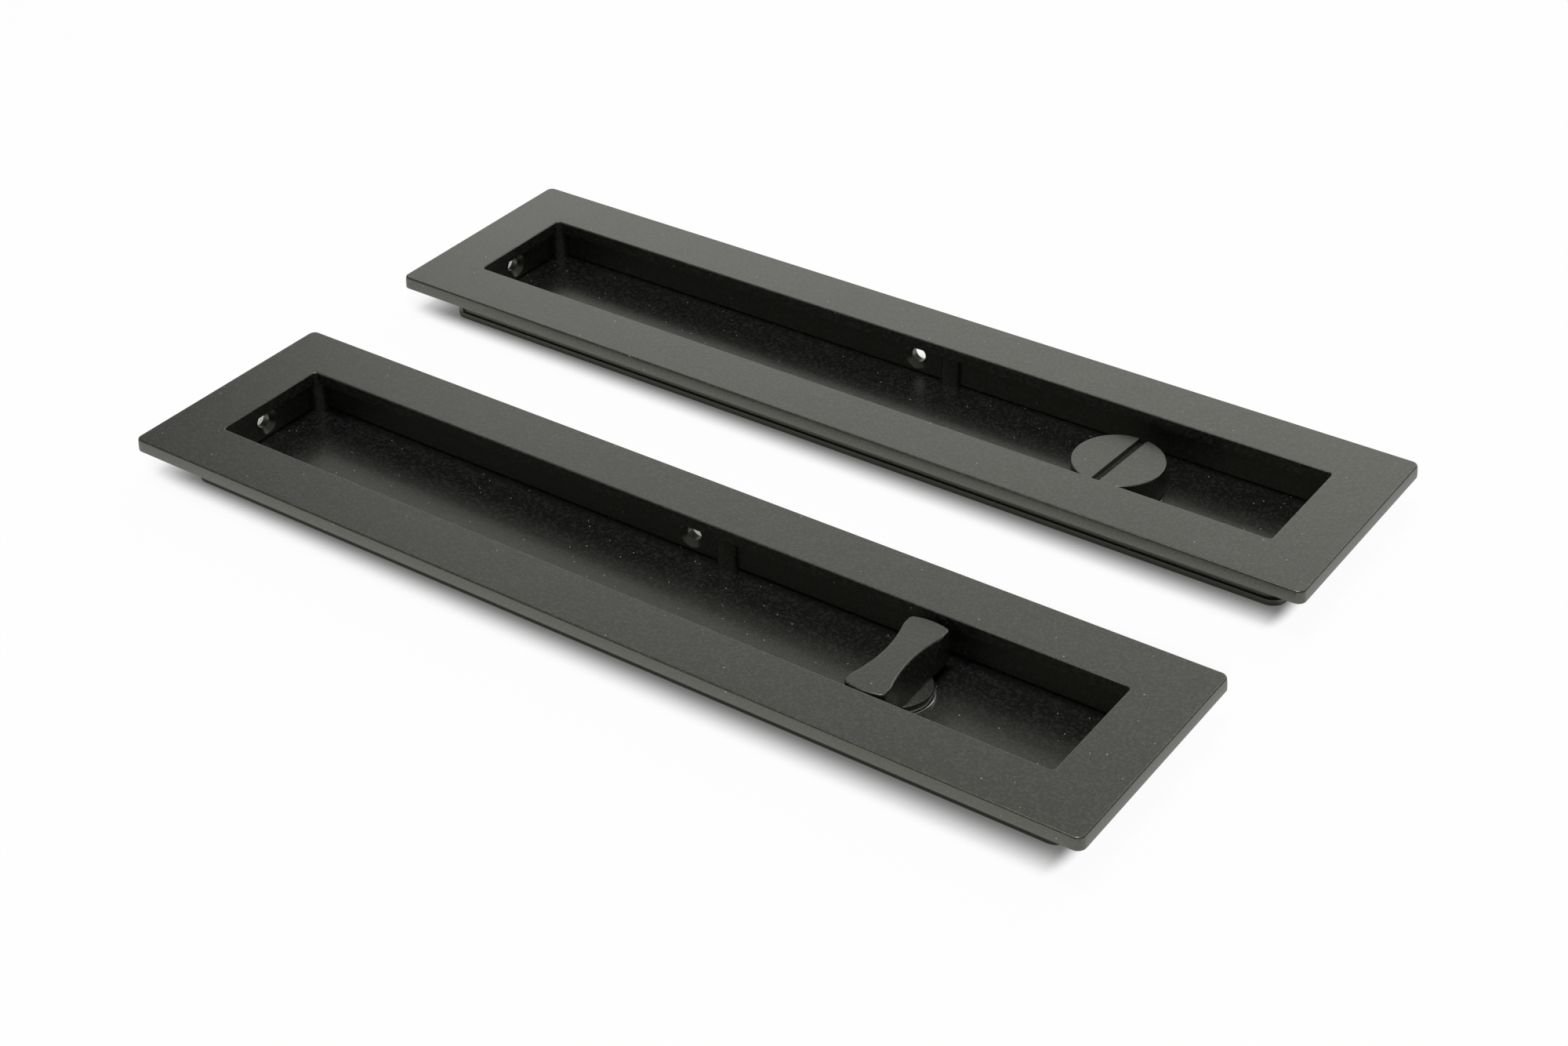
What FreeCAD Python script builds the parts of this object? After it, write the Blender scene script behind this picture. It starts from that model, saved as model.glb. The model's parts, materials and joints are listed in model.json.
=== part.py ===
import FreeCAD, Part
import math
import os

# Two recessed door pulls of a privacy set lie on their backs, side by side. The one in front
# has a thumbturn, the one behind a coin release. All sizes are in millimetres. X runs along
# the pulls, Z is up, and the origin is on the table, midway between the two pulls.

Vector = FreeCAD.Vector
up = Vector(0, 0, 1)

# The housing: a casting with a flange, an overhung lip and four walls.
pull_length = 254.0
pull_width = 60.0
pull_height = 12.8
pull_gap = 32.4
flange_thickness = 3.0
flange_corner = 2.0
flange_edge_bevel = 0.3
rim_width = 14.75
opening_corner = 1.0
opening_edge_bevel = 0.2
lip_reach = 2.45
wall_thickness = 3.1
body_corner = 3.8
pocket_corner = 1.0

# The back plate: a sheet that stands a little proud of the walls.
plate_thickness = 1.6
plate_proud = 0.6
plate_corner = 3.6

# The posts that take the back plate's screws.
post_radius = 2.85
wall_post_from_middle = 10.2
corner_post_inset = 0.65

# The back plate's countersunk screws.
screw_diameter = 3.0
screw_head_diameter = 5.4
screw_length = 6.0
screw_edge_land = 0.35
screw_thread_clearance = 0.05
screw_tip_clearance = 0.6
screw_head_clearance = 0.08
screw_shank_clearance = 0.1

# The countersunk holes in the walls, for the wood screws that fix a pull in its door.
fixing_hole_diameter = 3.8
fixing_countersink_diameter = 6.4

# The square socket for the lock's spindle sets the size of the shank round it.
turn_from_end = 60.35
socket_across = 5.1
groove_wall = 0.4
groove_depth = 0.5
groove_play = 0.05
shank_above_back = 0.1
shank_end_land = 0.3

# The snap ring in the shank's groove and the bent spring washer above it.
snap_ring_width = 1.55
snap_ring_offset = 0.3
snap_ring_thickness = 0.5
snap_ring_clearance = 0.05
snap_ring_gap = 4.0
spring_washer_thickness = 0.12
spring_washer_height = 0.23
spring_washer_clearance = 0.15
spring_washer_play = 0.01

# The bush that is pressed into the back plate, and the plastic washer on it.
shank_clearance = 0.05
ring_space_clearance = 0.2
bush_wall = 0.7
bush_flange_reach = 1.35
bush_flange_thickness = 0.5
glide_washer_inset = 0.85
glide_washer_thickness = 0.3
glide_washer_clearance = 0.15
glide_play = 0.05

# The thumbturn: a bar with round ends and a leaning scoop in each side.
collar_over_washer = 0.3
collar_thickness = 0.85
thumbturn_clearance = 1.2
thumbturn_width = 9.7
thumbturn_below_face = 1.14
thumbturn_corner = 1.2
thumbturn_edge_bevel = 0.2
thumbturn_scoop_radius = 33.0
thumbturn_scoop_depth = 1.55
thumbturn_socket_roof = 3.5
thumbturn_rest_angle = 1.1

# The coin release: a disc with a slot from rim to rim.
release_diameter = 22.0
release_below_face = 4.2
release_edge_bevel = 0.2
release_above_floor = 0.3
release_hollow_clearance = 0.45
release_slot_width = 2.05
release_slot_depth = 1.5
release_slot_angle = -3.5
release_socket_roof = 2.0

# Heights above the table.
flange_bottom = pull_height - flange_thickness
thumbturn_top = pull_height - thumbturn_below_face
release_top = pull_height - release_below_face
bush_flange_top = plate_thickness + bush_flange_thickness
glide_washer_top = bush_flange_top + glide_washer_thickness
collar_bottom = glide_washer_top + glide_play
collar_top = collar_bottom + collar_thickness
groove_bottom = shank_above_back + shank_end_land
snap_ring_bottom = groove_bottom + groove_play
snap_ring_top = snap_ring_bottom + snap_ring_thickness
groove_top = snap_ring_top + groove_play
spring_washer_bottom = snap_ring_top + spring_washer_play
spring_washer_top = spring_washer_bottom + spring_washer_height
ring_space_top = spring_washer_top + spring_washer_play
fixing_height = (plate_thickness + flange_bottom) / 2

# Plan sizes that follow from the ones above.
opening_length = pull_length - 2 * rim_width
opening_width = pull_width - 2 * rim_width
pocket_length = opening_length + 2 * lip_reach
pocket_width = opening_width + 2 * lip_reach
body_length = pocket_length + 2 * wall_thickness
body_width = pocket_width + 2 * wall_thickness
plate_length = body_length + 2 * plate_proud
plate_width = body_width + 2 * plate_proud
turn_x = pull_length / 2 - turn_from_end
pull_pitch = pull_width + pull_gap
groove_diameter = socket_across * math.sqrt(2) + 2 * groove_wall
shank_diameter = groove_diameter + 2 * groove_depth
snap_ring_diameter = groove_diameter + 2 * snap_ring_clearance + 2 * snap_ring_width
ring_space_diameter = snap_ring_diameter + 2 * snap_ring_offset + 2 * ring_space_clearance
spring_washer_diameter = ring_space_diameter - 2 * ring_space_clearance
bush_body_diameter = ring_space_diameter + 2 * bush_wall
bush_flange_diameter = bush_body_diameter + 2 * bush_flange_reach
glide_washer_diameter = bush_flange_diameter - 2 * glide_washer_inset
collar_diameter = glide_washer_diameter + 2 * collar_over_washer
thumbturn_length = opening_width - 2 * thumbturn_clearance
thumbturn_waist = thumbturn_width - 2 * thumbturn_scoop_depth


def disc(diameter, bottom, top):
    """A round disc about the Z axis."""
    return Part.makeCylinder(diameter / 2, top - bottom, Vector(0, 0, bottom))


def ring(outside, inside, bottom, top):
    """A flat ring about the Z axis."""
    return disc(outside, bottom, top).cut(disc(inside, bottom, top))


def upright_edges(shape):
    """The straight edges of a shape that run along Z."""
    return [edge for edge in shape.Edges if abs(edge.tangentAt(edge.FirstParameter).z) > 0.999]


def edges_at(shape, height):
    """The edges of a shape that lie flat at one height."""
    return [edge for edge in shape.Edges if abs(edge.BoundBox.ZMin - height) < 0.001]


def rounded_block(length, width, corner, bottom, top):
    """A block with rounded upright corners, centred on the Z axis."""
    block = Part.makeBox(length, width, top - bottom, Vector(-length / 2, -width / 2, bottom))
    return block.makeFillet(corner, upright_edges(block))


def countersunk(head_diameter, shank_diameter, length):
    """The outside of a countersunk screw, from its head at z = 0 up to its tip."""
    cone_length = (head_diameter - shank_diameter) / 2
    cone = Part.makeCone(head_diameter / 2, shank_diameter / 2, cone_length)
    return cone.fuse(disc(shank_diameter, cone_length, length))


def wall_post_places():
    """One post beside the middle of each long wall, opposite ways round."""
    y = plate_width / 2 - screw_edge_land - screw_head_diameter / 2
    return [Vector(wall_post_from_middle, y, 0), Vector(-wall_post_from_middle, -y, 0)]


def corner_post_places():
    """One post in each corner of the pocket."""
    x = pocket_length / 2 - corner_post_inset
    y = pocket_width / 2 - corner_post_inset
    return [Vector(side * x, end * y, 0) for side in (-1, 1) for end in (-1, 1)]


def post_places():
    return wall_post_places() + corner_post_places()


def flange():
    """The face of the pull, with its finger opening and both edges eased."""
    plate = rounded_block(pull_length, pull_width, flange_corner, flange_bottom, pull_height)
    plate = plate.makeChamfer(flange_edge_bevel, edges_at(plate, pull_height))
    window = rounded_block(opening_length, opening_width, opening_corner, flange_bottom, pull_height)
    face = plate.cut(window)
    inner = [edge for edge in edges_at(face, pull_height)
             if abs(edge.CenterOfMass.x) < opening_length / 2 + opening_corner
             and abs(edge.CenterOfMass.y) < opening_width / 2 + opening_corner]
    return face.makeChamfer(opening_edge_bevel, inner)


def fixing_holes():
    """Countersunk holes through the middle of each wall, driven from inside the pocket."""
    holes = []
    hole = countersunk(fixing_countersink_diameter, fixing_hole_diameter, 2 * wall_thickness)
    for outward, reach in ((Vector(1, 0, 0), pocket_length / 2), (Vector(-1, 0, 0), pocket_length / 2),
                           (Vector(0, 1, 0), pocket_width / 2), (Vector(0, -1, 0), pocket_width / 2)):
        mouth = outward * reach + up * fixing_height
        turned = hole.copy()
        turned.Placement = FreeCAD.Placement(mouth, FreeCAD.Rotation(up, outward))
        holes.append(turned)
    return holes


def housing():
    """The casting: flange, walls, screw posts and fixing holes in one piece."""
    body = rounded_block(body_length, body_width, body_corner, plate_thickness, flange_bottom)
    pocket = rounded_block(pocket_length, pocket_width, pocket_corner, plate_thickness, flange_bottom)
    walls = body.cut(pocket)
    post = disc(2 * post_radius, plate_thickness, flange_bottom)
    posts = [post.translated(place).common(pocket) for place in post_places()]
    casting = flange().fuse([walls] + posts).removeSplitter()
    tapped = disc(screw_diameter, plate_thickness, screw_length + screw_tip_clearance)
    return casting.cut([tapped.translated(place) for place in post_places()] + fixing_holes())


def back_plate():
    """The pocket's floor, with a hole for the bush and countersinks in its back."""
    plate = rounded_block(plate_length, plate_width, plate_corner, 0, plate_thickness)
    bush_hole = disc(bush_body_diameter, 0, plate_thickness).translated(Vector(turn_x, 0, 0))
    seat = countersunk(screw_head_diameter + 2 * screw_head_clearance,
                       screw_diameter + 2 * screw_shank_clearance, screw_length)
    return plate.cut([bush_hole] + [seat.translated(place) for place in post_places()])


def plate_screws():
    """The screws that hold the back plate, heads flush with its back."""
    screw = countersunk(screw_head_diameter, screw_diameter - 2 * screw_thread_clearance, screw_length)
    return Part.makeCompound([screw.translated(place) for place in post_places()])


def bush():
    """The turned bush: its flange lies on the floor and its body is pressed into the plate."""
    body = disc(bush_body_diameter, 0, plate_thickness)
    seat = disc(bush_flange_diameter, plate_thickness, bush_flange_top)
    bore = disc(shank_diameter + 2 * shank_clearance, 0, bush_flange_top)
    ring_space = disc(ring_space_diameter, 0, ring_space_top)
    return body.fuse(seat).removeSplitter().cut([bore, ring_space])


def glide_washer():
    """The thin plastic washer that the turning piece slides on."""
    inside = shank_diameter + 2 * glide_washer_clearance
    return ring(glide_washer_diameter, inside, bush_flange_top, glide_washer_top)


def spring_washer():
    """A washer bent about one axis: its middle pushes on the bush and its sides on the snap ring."""
    half = spring_washer_diameter / 2
    sag = spring_washer_height - spring_washer_thickness
    inner_radius = (half ** 2 + sag ** 2) / (2 * sag)
    outer_radius = inner_radius + spring_washer_thickness
    start = Vector(0, -half, spring_washer_top - outer_radius)
    along = Vector(0, 1, 0)
    bent = Part.makeCylinder(outer_radius, 2 * half, start, along)
    bent = bent.cut(Part.makeCylinder(inner_radius, 2 * half, start, along))
    inside = shank_diameter + 2 * spring_washer_clearance
    return ring(spring_washer_diameter, inside, spring_washer_bottom, spring_washer_top).common(bent)


def snap_ring():
    """An open ring, widest opposite its gap, that springs into the shank's groove."""
    outside = disc(snap_ring_diameter, snap_ring_bottom, snap_ring_top)
    outside.translate(Vector(snap_ring_offset, 0, 0))
    inside = disc(groove_diameter + 2 * snap_ring_clearance, snap_ring_bottom, snap_ring_top)
    gap = Part.makeBox(snap_ring_diameter, snap_ring_gap, snap_ring_thickness,
                       Vector(-snap_ring_diameter, -snap_ring_gap / 2, snap_ring_bottom))
    return outside.cut([inside, gap])


def shank(top):
    """The round shank under a turning piece, with its groove for the snap ring."""
    groove = ring(2 * shank_diameter, groove_diameter, groove_bottom, groove_top)
    return disc(shank_diameter, shank_above_back, top).cut(groove)


def spindle_socket(top):
    """The square hole for the lock's spindle, from the end of the shank."""
    corner = Vector(-socket_across / 2, -socket_across / 2, shank_above_back)
    return Part.makeBox(socket_across, socket_across, top - shank_above_back, corner)


def thumbturn_scoop(side):
    """The leaning cylinder that hollows one side of the thumbturn and runs out at the collar."""
    lean = math.atan(thumbturn_scoop_depth / (thumbturn_top - collar_top))
    axis = Vector(-side * math.sin(lean), 0, math.cos(lean))
    across = thumbturn_waist / 2 + thumbturn_scoop_radius / math.cos(lean)
    centre = Vector(side * across, 0, thumbturn_top)
    return Part.makeCylinder(thumbturn_scoop_radius, 4 * pull_height, centre - axis * 2 * pull_height, axis)


def thumbturn():
    """The bow-tie bar, its collar and its shank in one piece."""
    corner = Vector(-thumbturn_width / 2, -thumbturn_length / 2, collar_top)
    bar = Part.makeBox(thumbturn_width, thumbturn_length, thumbturn_top - collar_top, corner)
    bar = bar.common(disc(thumbturn_length, collar_top, thumbturn_top))
    bar = bar.makeFillet(thumbturn_corner, upright_edges(bar))
    bar = bar.cut([thumbturn_scoop(-1), thumbturn_scoop(1)])
    bar = bar.makeChamfer(thumbturn_edge_bevel, edges_at(bar, thumbturn_top))
    collar = disc(collar_diameter, collar_bottom, collar_top)
    piece = bar.fuse([collar, shank(collar_bottom)]).removeSplitter()
    piece = piece.cut(spindle_socket(thumbturn_top - thumbturn_socket_roof))
    return piece.rotated(Vector(0, 0, 0), up, thumbturn_rest_angle)


def coin_release():
    """The slotted disc and its shank in one piece, hollow underneath over the bush."""
    head = disc(release_diameter, plate_thickness + release_above_floor, release_top)
    head = head.makeChamfer(release_edge_bevel, edges_at(head, release_top))
    hollow = disc(bush_flange_diameter + 2 * release_hollow_clearance, plate_thickness, collar_bottom)
    slot_floor = release_top - release_slot_depth
    slot_corner = Vector(-release_slot_width / 2, -release_diameter, slot_floor)
    slot = Part.makeBox(release_slot_width, 2 * release_diameter, release_slot_depth, slot_corner)
    piece = head.cut([hollow, slot]).fuse(shank(collar_bottom)).removeSplitter()
    piece = piece.cut(spindle_socket(slot_floor - release_socket_roof))
    return piece.rotated(Vector(0, 0, 0), up, release_slot_angle)


def save(name, shape, place):
    shape.translated(place).exportStep(f"parts/{name}.step")


def build():
    os.makedirs("parts", exist_ok=True)
    fixed = {"housing": housing(), "back_plate": back_plate(), "plate_screws": plate_screws()}
    at_turn = {"bush": bush(), "glide_washer": glide_washer(), "spring_washer": spring_washer(),
               "snap_ring": snap_ring()}
    pulls = (("turn", -pull_pitch / 2, "thumbturn", thumbturn()),
             ("release", pull_pitch / 2, "coin_disc", coin_release()))
    for side, y, turning_name, turning_piece in pulls:
        place = Vector(0, y, 0)
        turn_place = Vector(turn_x, y, 0)
        for name, shape in fixed.items():
            save(f"{side}_{name}", shape, place)
        for name, shape in at_turn.items():
            save(f"{side}_{name}", shape, turn_place)
        save(f"{side}_{turning_name}", turning_piece, turn_place)


build()
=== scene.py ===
# %% [markdown]
# # A pair of flush pulls for a sliding door
# Two long door pulls in matt black lie on their backs on a white table. The one in front has a
# bow-tie thumbturn in its pocket, and the one behind has a disc with a coin slot. The sizes come
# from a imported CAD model, which is loaded first and never moved. Each finer piece made here
# stands in for one CAD node, in the same place, so the joints still turn it.

# %% Load the frame
import json
import math

import bmesh
import bpy
from mathutils import Matrix, Vector


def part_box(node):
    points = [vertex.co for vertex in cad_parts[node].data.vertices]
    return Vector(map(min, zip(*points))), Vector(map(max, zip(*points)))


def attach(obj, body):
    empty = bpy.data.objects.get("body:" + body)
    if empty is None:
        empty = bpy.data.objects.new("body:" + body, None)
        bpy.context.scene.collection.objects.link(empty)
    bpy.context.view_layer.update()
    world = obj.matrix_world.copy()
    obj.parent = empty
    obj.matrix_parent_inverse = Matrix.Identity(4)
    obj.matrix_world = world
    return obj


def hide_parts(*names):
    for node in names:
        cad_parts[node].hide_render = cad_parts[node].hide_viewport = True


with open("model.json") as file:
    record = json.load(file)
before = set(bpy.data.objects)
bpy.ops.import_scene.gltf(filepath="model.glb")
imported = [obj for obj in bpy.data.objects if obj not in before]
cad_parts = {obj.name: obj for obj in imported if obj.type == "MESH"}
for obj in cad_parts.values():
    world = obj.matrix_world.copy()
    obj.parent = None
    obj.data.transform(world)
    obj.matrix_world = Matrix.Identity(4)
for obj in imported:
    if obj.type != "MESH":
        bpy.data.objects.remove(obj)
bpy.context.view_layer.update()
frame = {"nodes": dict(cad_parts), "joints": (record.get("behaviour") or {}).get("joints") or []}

mm = 0.001

# %% [markdown]
# ## The camera
# The edges of both faces and of both pockets in the photograph were matched to a pinhole camera
# at once, which gives the lens, the place and a slight roll. A camera could be given as a row of
# coordinates. This one is placed from the point that it looks at, because angles say more: how
# far round it stands, how high and how far away.

# %% Camera
photo_width = 2000
photo_focal_pixels = 3224.75
sensor_width = 36.0
camera_round = math.radians(36.444)
camera_height = math.radians(34.468)
camera_roll = math.radians(-1.8965)
camera_distance = 554.84 * mm
camera_target = Vector((20.747, -21.531, 12.8)) * mm


def place_camera():
    """Stands the camera where the photograph was taken from, and makes it the scene's camera."""
    lens = bpy.data.cameras.new("camera")
    lens.sensor_width = sensor_width
    lens.lens = photo_focal_pixels * sensor_width / photo_width
    lens.clip_start = mm
    back = Vector((math.sin(camera_round) * math.cos(camera_height),
                   -math.cos(camera_round) * math.cos(camera_height), math.sin(camera_height)))
    level_right = (-back).cross(Vector((0, 0, 1))).normalized()
    level_up = back.cross(level_right)
    right = level_right * math.cos(camera_roll) + level_up * math.sin(camera_roll)
    upward = level_up * math.cos(camera_roll) - level_right * math.sin(camera_roll)
    place = Matrix((right, upward, back)).transposed().to_4x4()
    place.translation = camera_target + back * camera_distance
    camera = bpy.data.objects.new("camera", lens)
    camera.matrix_world = place
    bpy.context.scene.collection.objects.link(camera)
    bpy.context.scene.camera = camera
    print("lens in mm:", round(lens.lens, 2), "camera at mm:", [round(c / mm) for c in camera.location])


place_camera()

# %% [markdown]
# ## Shader maths as expressions
# A finish is easier to read as arithmetic than as a web of nodes. `Wire` holds one output of a
# node and overloads the operators, so that `1 - mask` or `grains * 0.3` adds the Math node itself.
# `Recipe` is one material's node tree, and its `add` makes any other node.

# %% Wires
class Wire:
    """One output socket of a material, with the arithmetic that the finishes use."""

    def __init__(self, recipe, socket):
        self.recipe = recipe
        self.socket = socket

    def __add__(self, other):
        return self.recipe.maths("ADD", self, other)

    def __radd__(self, other):
        return self.recipe.maths("ADD", other, self)

    def __sub__(self, other):
        return self.recipe.maths("SUBTRACT", self, other)

    def __rsub__(self, other):
        return self.recipe.maths("SUBTRACT", other, self)

    def __mul__(self, other):
        return self.recipe.maths("MULTIPLY", self, other)

    def __rmul__(self, other):
        return self.recipe.maths("MULTIPLY", other, self)

    def __lt__(self, other):
        return self.recipe.maths("LESS_THAN", self, other)

    def beside(self, name):
        """Another output of the same node."""
        return Wire(self.recipe, self.socket.node.outputs[name])


# %% Recipes
class Recipe:
    """The node tree of one material, or of the room's light."""

    def __init__(self, owner):
        self.owner = owner
        self.owner.use_nodes = True
        self.tree = self.owner.node_tree
        self.tree.nodes.clear()

    def add(self, kind, settings=None, sockets=None, output=0):
        """Makes a node, sets it up, fills its sockets and returns one of its outputs."""
        node = self.tree.nodes.new(kind)
        for name, value in (settings or {}).items():
            setattr(node, name, value)
        for name, value in (sockets or {}).items():
            if isinstance(value, Wire):
                self.tree.links.new(value.socket, node.inputs[name])
            else:
                node.inputs[name].default_value = value
        return Wire(self, node.outputs[output]) if node.outputs else None

    def maths(self, operation, *values):
        """A Math node on wires and numbers."""
        return self.add("ShaderNodeMath", {"operation": operation}, dict(enumerate(values)))

    def finish(self, surface, output="ShaderNodeOutputMaterial"):
        """Shows the surface and returns what it belongs to."""
        self.add(output, sockets={"Surface": surface})
        return self.owner


def new_recipe(name):
    """A recipe for a new material."""
    return Recipe(bpy.data.materials.new(name))


def principled(recipe, sockets):
    """Ends a recipe with Blender's all-round surface shader."""
    return recipe.finish(recipe.add("ShaderNodeBsdfPrincipled", sockets=sockets))


# %% [markdown]
# ## What the finishes share
# Every finish needs a place on the surface, some noise, and a colour that drifts between two
# others. The place comes from the object's own coordinates, in metres, so a piece keeps its grain
# when it turns. The size of a noise is given as a real length.

# %% Noise, specks, bumps and colours
def place_on(recipe):
    """Where a point is in its object's own coordinates."""
    return recipe.add("ShaderNodeTexCoord", output="Object")


def noise(recipe, size, detail=2.0, roughness=0.5):
    """Soft noise from 0 to 1 whose lumps are about `size` metres across."""
    sockets = {"Vector": place_on(recipe), "Scale": 1.0 / size, "Detail": detail, "Roughness": roughness}
    return recipe.add("ShaderNodeTexNoise", sockets=sockets)


def drift(recipe, amount, first, second):
    """A colour that goes from the first to the second as the amount goes from 0 to 1."""
    return recipe.add("ShaderNodeMix", {"data_type": "RGBA"}, {0: amount, 6: first, 7: second}, output=2)


def specks(recipe, spacing, radius, share):
    """A mask that is 1 on small specks at scattered points. This share of the points holds one."""
    settings = {"voronoi_dimensions": "3D", "feature": "F1"}
    sockets = {"Vector": place_on(recipe), "Scale": 1.0 / spacing}
    cells = recipe.add("ShaderNodeTexVoronoi", settings, sockets)
    chosen = recipe.add("ShaderNodeSeparateColor", sockets={"Color": cells.beside("Color")}) < share
    return chosen * (cells < radius / spacing)


def bumps(recipe, height):
    """The surface's normal, tilted as lumps of this height in millimetres would tilt it."""
    return recipe.add("ShaderNodeBump", sockets={"Strength": 1.0, "Distance": mm, "Height": height})


def grey(level, warmth=0.0):
    """A grey, a little warmer (red over blue) where warmth is above 0."""
    return (level * (1 + warmth), level * (1 + warmth / 2), level * (1 - warmth), 1.0)


print("a warm grey:", [round(part, 3) for part in grey(0.5, 0.05)])

# %% [markdown]
# ## Powder coat
# The castings, the back plates and the turning pieces all have a fine matt powder coat. Close up it
# is a skin of tiny rounded lumps about half a millimetre across, which break up the reflection of
# the room. From the photograph's distance a bump alone is averaged away, so the colour helps with a
# painted shade of the lumps: the pigment is black in the hollows between them and slightly lighter
# on their tops, where the same noise raises the bump, and this gives the flat faces their fine sandy
# look. A slower swell comes from the metal under the paint, and a few dust specks lie on top, most
# of them on the floors of the pockets.

# %% Powder coat
grain_size = 0.65 * mm
grain_shade_contrast = 12.0
grain_tint = -0.1
swell_size = 9 * mm
swell_height = 0.04
cloud_size = 25 * mm
speck_spacing = 1.5 * mm
speck_radius = 0.14 * mm
dust_grey = grey(0.45, 0.05)
gloss_start = -0.04
gloss_in_grains = 0.06
gloss_in_clouds = 0.03
shine = 1.0
warm_gloss = (1.0, 1.0, 0.86, 1.0)
paint_index = 1.6


def powder_coat(name, level, roughness, lump_height, dust_share):
    """Matt black powder coat: lumps topped with lighter grains of this level, black painted shade between, a
    slow swell and some dust.
    """
    paint = new_recipe(name)
    grains = noise(paint, grain_size, detail=3.0, roughness=0.7)
    swell = noise(paint, swell_size, detail=1.0)
    cloud = noise(paint, cloud_size)
    dust = specks(paint, speck_spacing, speck_radius, dust_share)
    # The pigment follows the bump's grains: lighter on the lumps' tops and black in the hollows, as painted
    # shade.
    pigment_and_lump_shade = drift(paint, (grains - 0.5) * grain_shade_contrast, grey(0.0), grey(level, grain_tint))
    height = grains * lump_height + swell * swell_height
    gloss = roughness + gloss_start + grains * gloss_in_grains + cloud * gloss_in_clouds
    sockets = {"Base Color": drift(paint, dust, pigment_and_lump_shade, dust_grey), "Roughness": gloss,
               "IOR": paint_index, "Specular IOR Level": shine, "Specular Tint": warm_gloss,
               "Normal": bumps(paint, height)}
    return principled(paint, sockets)


casting_paint = powder_coat("casting_powder_coat", level=0.026, roughness=0.35, lump_height=0.012,
                            dust_share=0.05)
plate_paint = powder_coat("plate_powder_coat", level=0.018, roughness=0.32, lump_height=0.01,
                          dust_share=0.16)
turn_paint = powder_coat("turn_powder_coat", level=0.026, roughness=0.35, lump_height=0.012,
                         dust_share=0.03)
print("paints:", casting_paint.name, plate_paint.name, turn_paint.name)

# %% [markdown]
# ## Bare and plated metal, and plastic
# The bush is turned steel with a bright plating, the screws are blackened steel, and the springs
# are oiled steel. A perfectly even metal looks like a drawing of one, so all three share a recipe
# whose colour, gloss and surface are slightly uneven, and only its numbers change. The glide
# washers are white plastic, which needs no more than a faint cloud.

# %% Metals and the washer's plastic
cloud_per_lump = 12
dull_share = 0.9
gloss_spread = 0.08


def metal(name, level, roughness, lump_size, lump_height, warmth=0.0):
    """A bare metal with a faint unevenness in its colour, its gloss and its surface."""
    steel = new_recipe(name)
    lumps = noise(steel, lump_size, detail=4.0)
    cloud = noise(steel, cloud_per_lump * lump_size)
    colour = drift(steel, cloud, grey(level * dull_share, warmth), grey(level, warmth))
    sockets = {"Base Color": colour, "Metallic": 1.0, "Roughness": roughness + lumps * gloss_spread,
               "Normal": bumps(steel, lumps * lump_height)}
    return principled(steel, sockets)


def washer_plastic():
    """Natural white plastic, punched from a sheet."""
    plastic = new_recipe("glide_plastic")
    cloud = noise(plastic, 3 * mm)
    colour = drift(plastic, cloud, grey(0.7, 0.03), grey(0.8, 0.02))
    return principled(plastic, {"Base Color": colour, "Roughness": 0.45 + cloud * 0.1})


bright_steel = metal("bright_steel", level=0.75, roughness=0.12, lump_size=0.3 * mm, lump_height=0.002)
black_steel = metal("blackened_steel", level=0.06, roughness=0.38, lump_size=0.4 * mm,
                    lump_height=0.004, warmth=0.02)
spring_steel = metal("spring_steel", level=0.4, roughness=0.3, lump_size=0.5 * mm,
                     lump_height=0.003, warmth=0.01)
white_plastic = washer_plastic()
print("metals:", bright_steel.name, black_steel.name, spring_steel.name)

# %% [markdown]
# ## Ways to make a mesh
# Two forms cover these pieces. A `loft` joins closed loops of equally many points, which suits a
# casting whose section runs all the way round a rectangle. A `lathe` turns a section about the
# upright axis, which suits the bush, the screws and the disc. Small edges are rounded in the
# section itself, as arcs, because light on a rounded edge is what makes a casting look real.

# %% Points along rounded sections
corner_steps = 10


def arc(centre, radius, start, end, steps):
    """Points of an arc in a section, with its angles in degrees."""
    points = []
    for step in range(steps + 1):
        angle = math.radians(start + (end - start) * step / steps)
        points.append((centre[0] + radius * math.cos(angle), centre[1] + radius * math.sin(angle)))
    return points


def level_loop(outline, height):
    """A flat outline, lifted to one height."""
    return [Vector((x, y, height)) for x, y in outline]


def rounded_rectangle(length, width, corner, height):
    """A level loop round a rectangle with rounded corners."""
    x = length / 2 - corner
    y = width / 2 - corner
    outline = []
    for centre, start in (((x, y), 0), ((-x, y), 90), ((-x, -y), 180), ((x, -y), 270)):
        outline += arc(centre, corner, start, start + 90, corner_steps)
    return level_loop(outline, height)


def circles(section, steps):
    """Level circles about the upright axis, one for each (radius, height) point of a section."""
    angles = [2 * math.pi * step / steps for step in range(steps)]
    return [level_loop([(radius * math.cos(a), radius * math.sin(a)) for a in angles], height)
            for radius, height in section]


print("points in each rounded rectangle:", 4 * (corner_steps + 1))

# %% Loft, lathe and prism
hair = 0.001 * mm


def new_piece(name, shape):
    """Puts a finished bmesh into the scene as an object."""
    bmesh.ops.recalc_face_normals(shape, faces=shape.faces)
    mesh = bpy.data.meshes.new(name)
    shape.to_mesh(mesh)
    shape.free()
    piece = bpy.data.objects.new(name, mesh)
    bpy.context.scene.collection.objects.link(piece)
    return piece


def loft(name, loops, endless=False):
    """Skins closed loops with quads. An endless loft joins its last loop to its first."""
    shape = bmesh.new()
    rings = [[shape.verts.new(point) for point in loop] for loop in loops]
    pairs = list(zip(rings, rings[1:]))
    if endless:
        pairs.append((rings[-1], rings[0]))
    else:
        shape.faces.new(rings[0])
        shape.faces.new(rings[-1])
    for low, high in pairs:
        for i in range(len(low)):
            shape.faces.new((low[i - 1], low[i], high[i], high[i - 1]))
    return new_piece(name, shape)


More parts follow.
